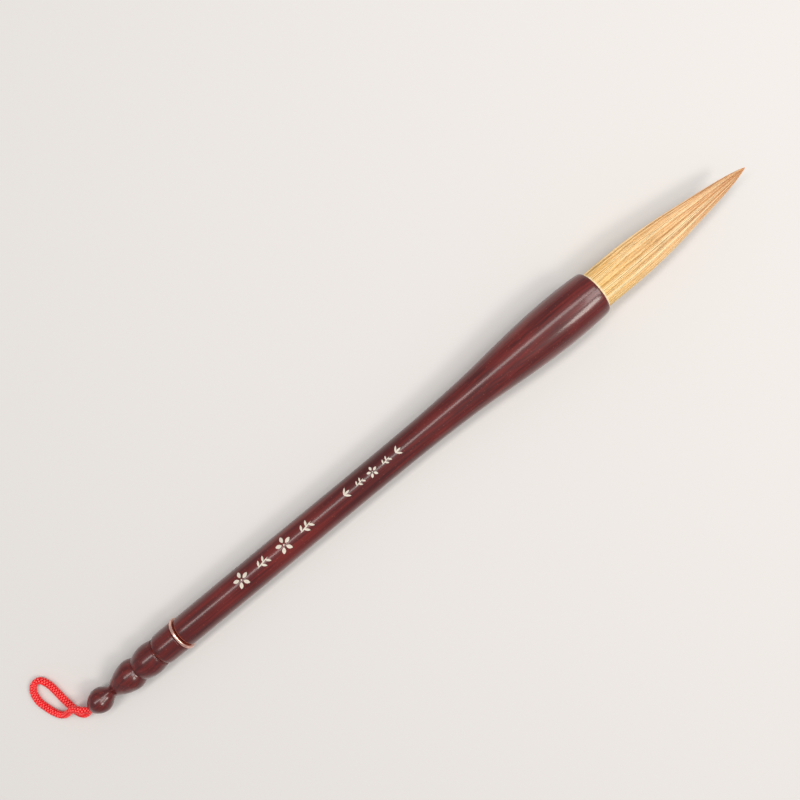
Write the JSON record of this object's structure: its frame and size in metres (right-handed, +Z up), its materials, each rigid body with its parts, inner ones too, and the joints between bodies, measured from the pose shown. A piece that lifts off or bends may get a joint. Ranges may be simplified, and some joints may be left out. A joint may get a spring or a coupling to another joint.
{
  "type": "calligraphy brush",
  "caption": "Large-headed ink brush lying down: lacquered wooden handle with a flared head, turned tail with beads and a knob, red cord loop, and a pointed hair tuft that flexes.",
  "frame": {"origin": "on the table, under the middle of the brush (without its cord)", "axes": "+X along the brush towards the tip of its hair, +Z up from the table"},
  "size_m": [0.3068, 0.0293, 0.0176],
  "materials": {
    "dark_red_lacquered_wood": "dark red lacquer over fine-grained hardwood, glossy",
    "copper_ring": "polished pinkish copper",
    "golden_hair": "golden animal hair, clean and dry",
    "pale_hair": "pale soft hair",
    "tan_hair": "springy tan hair",
    "amber_resin": "set glue and rosin",
    "waxed_thread": "waxed thread",
    "braided_red_cord": "bright red braid"
  },
  "bodies": {
    "handle": {"shaft": "dark_red_lacquered_wood", "collar_ring": "copper_ring", "tail_finial": "dark_red_lacquered_wood", "cup_glue": "amber_resin", "root_seal": "amber_resin", "root_binding": "waxed_thread", "outer_hair_root": "golden_hair", "padding_hair_root": "pale_hair", "core_hair_root": "tan_hair", "cord_ends": "braided_red_cord", "cord_glue": "amber_resin"},
    "hair_belly": {"outer_hair_belly": "golden_hair", "padding_hair_belly": "pale_hair", "core_hair_belly": "tan_hair"},
    "hair_waist": {"outer_hair_waist": "golden_hair", "padding_hair_waist": "pale_hair", "core_hair_waist": "tan_hair"},
    "hair_point": {"outer_hair_point": "golden_hair", "core_hair_point": "tan_hair"},
    "loop": {"hanging_cord": "braided_red_cord"}
  },
  "joints": [
    {"name": "belly_bend", "type": "hinge", "parent": "handle", "child": "hair_belly", "pos_m": [0.08459, 0, 0.00915], "axis": [0, 0, 1], "range_deg": [-30, 30], "stiffness_Nm_per_rad": 0.04},
    {"name": "waist_bend", "type": "hinge", "parent": "hair_belly", "child": "hair_waist", "pos_m": [0.10109, 0, 0.00942], "axis": [0, 0, 1], "range_deg": [-35, 35], "stiffness_Nm_per_rad": 0.018},
    {"name": "point_bend", "type": "hinge", "parent": "hair_waist", "child": "hair_point", "pos_m": [0.11758, 0, 0.00969], "axis": [0, 0, 1], "range_deg": [-45, 45], "stiffness_Nm_per_rad": 0.004},
    {"name": "loop_swing", "type": "hinge", "parent": "handle", "child": "loop", "pos_m": [-0.14678, 0, 0.00541], "axis": [0, 0, 1], "range_deg": [-30, 90]}
  ]
}
